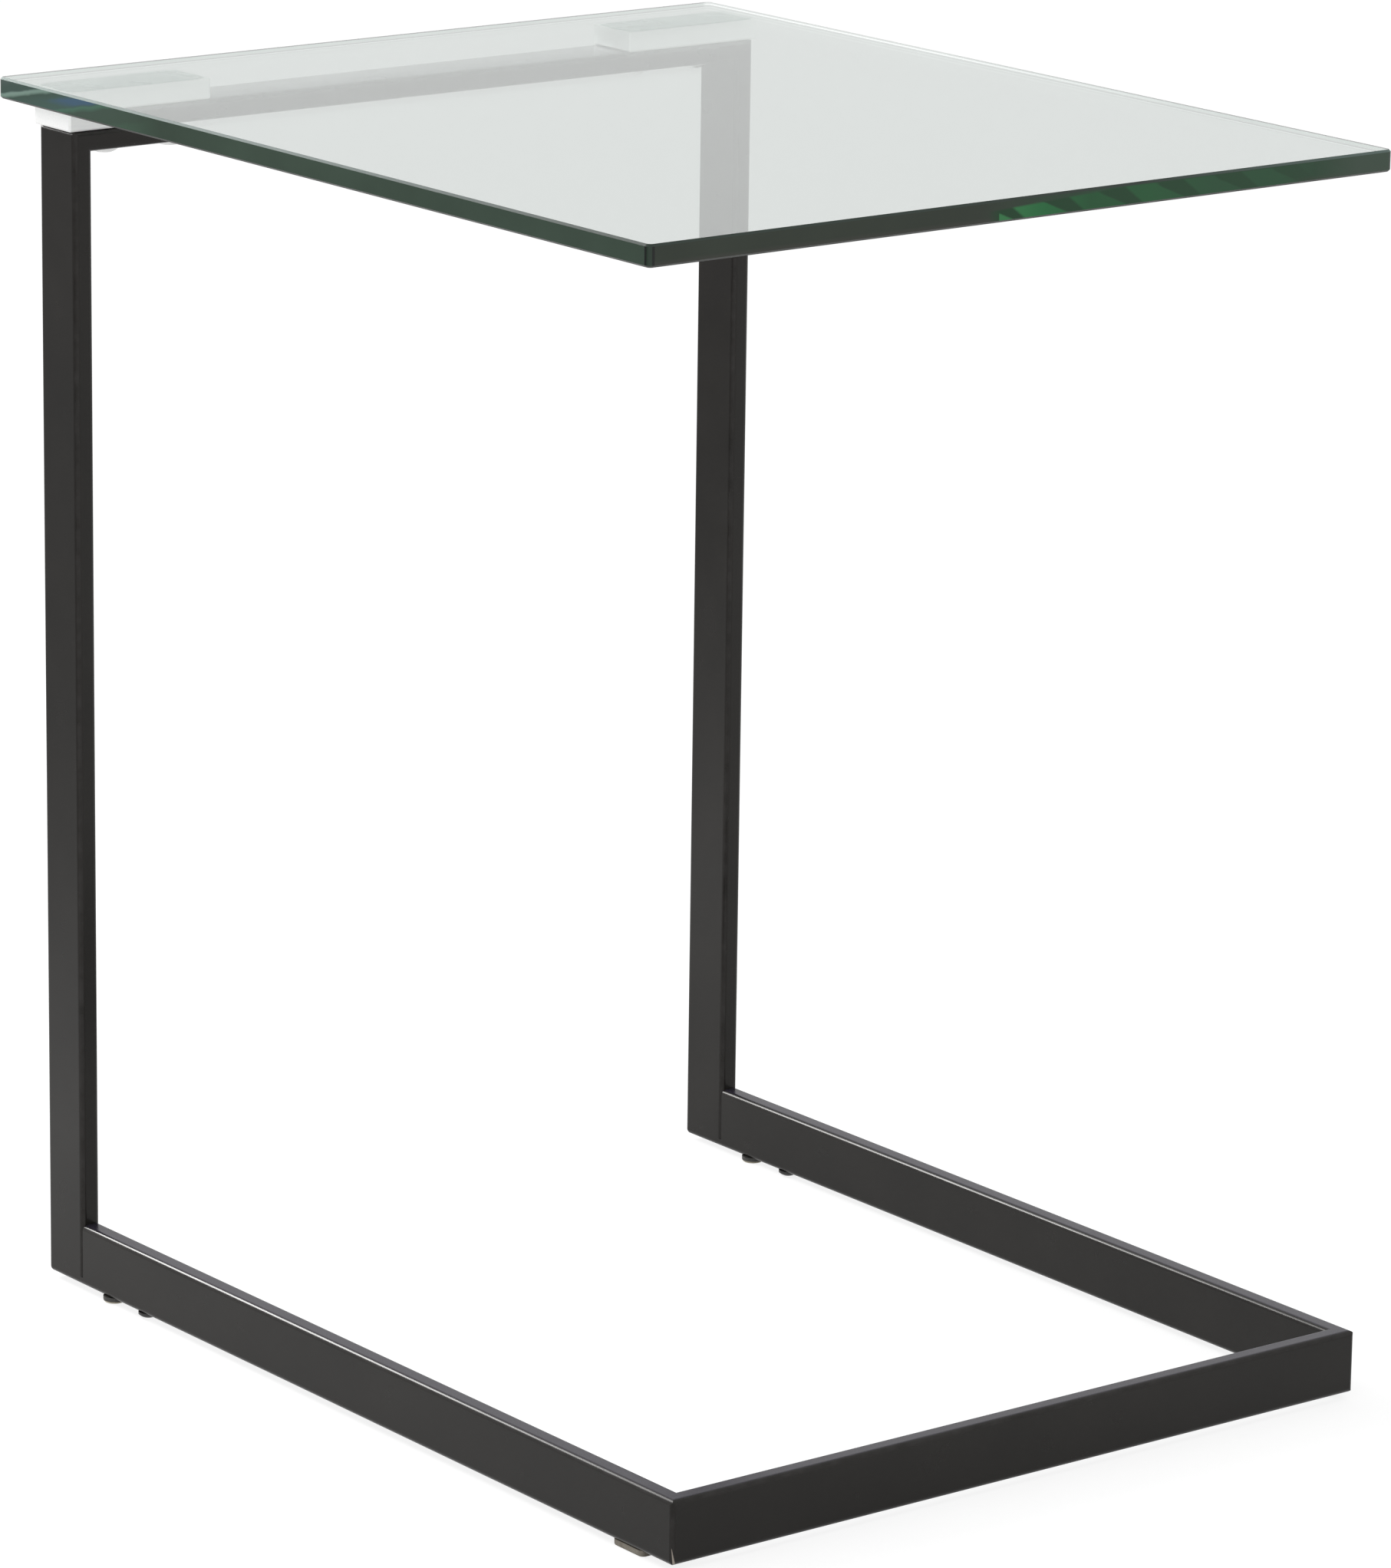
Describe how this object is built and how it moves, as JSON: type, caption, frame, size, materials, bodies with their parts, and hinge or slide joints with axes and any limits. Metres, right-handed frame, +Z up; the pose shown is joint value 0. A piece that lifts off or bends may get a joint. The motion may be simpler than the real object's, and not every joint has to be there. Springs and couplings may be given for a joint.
{
  "type": "side table",
  "caption": "C shaped side table: a clear glass top held along its rear edge by a slender black flat tube frame, whose low open base slides under a sofa or bed.",
  "frame": {"origin": "on the floor, in the middle of the table's outline seen from above", "axes": "+Z up; -Y towards the open side of the C, where the seat goes in; +X to the right when one looks along +Y into the open side"},
  "size_m": [0.414, 0.514, 0.58],
  "materials": {
    "clear_glass": "clear, polished edges that look green",
    "bond_adhesive": "clear bonding adhesive",
    "satin_aluminium": "satin",
    "frame_paint": "satin black powder coat",
    "plain_steel": "plain steel, hidden",
    "zinc_steel": "zinc plated",
    "black_steel": "black oxide",
    "pad_rubber": "matt grey brown",
    "glide_plastic": "black, worn pale at the foot"
  },
  "bodies": {
    "frame": {"glass_top": "clear_glass", "left_bond_film": "bond_adhesive", "right_bond_film": "bond_adhesive", "left_glass_block": "satin_aluminium", "right_glass_block": "satin_aluminium", "top_rail": "frame_paint", "front_base_rail": "frame_paint", "left_upright": "frame_paint", "right_upright": "frame_paint", "left_upright_cap": "frame_paint", "right_upright_cap": "frame_paint", "left_base_rail": "frame_paint", "right_base_rail": "frame_paint", "left_joint_tongue": "plain_steel", "right_joint_tongue": "plain_steel", "rail_sleeves": "plain_steel", "glass_bolts": "zinc_steel", "joint_bolts": "black_steel", "left_front_pad": "pad_rubber", "right_front_pad": "pad_rubber"},
    "left_glide_base": {"left_glide_base": "glide_plastic"},
    "left_glide_stud": {"left_glide_stud": "zinc_steel"},
    "right_glide_base": {"right_glide_base": "glide_plastic"},
    "right_glide_stud": {"right_glide_stud": "zinc_steel"}
  },
  "joints": [
    {"name": "left_glide_travel", "type": "slide", "parent": "frame", "child": "left_glide_base", "axis": [0, 0, -1], "range_m": [0, 0.008]},
    {"name": "left_glide_turn", "type": "hinge", "parent": "left_glide_base", "child": "left_glide_stud", "pos_m": [-0.192, 0.188, 0.003], "axis": [0, 0, -1], "range_deg": [0, 3600]},
    {"name": "right_glide_travel", "type": "slide", "parent": "frame", "child": "right_glide_base", "axis": [0, 0, -1], "range_m": [0, 0.008]},
    {"name": "right_glide_turn", "type": "hinge", "parent": "right_glide_base", "child": "right_glide_stud", "pos_m": [0.192, 0.188, 0.003], "axis": [0, 0, -1], "range_deg": [0, 3600]}
  ],
  "couplings": [
    {"joint": "left_glide_turn", "follows": "left_glide_travel", "rad_per_m": 7854},
    {"joint": "right_glide_turn", "follows": "right_glide_travel", "rad_per_m": 7854}
  ]
}
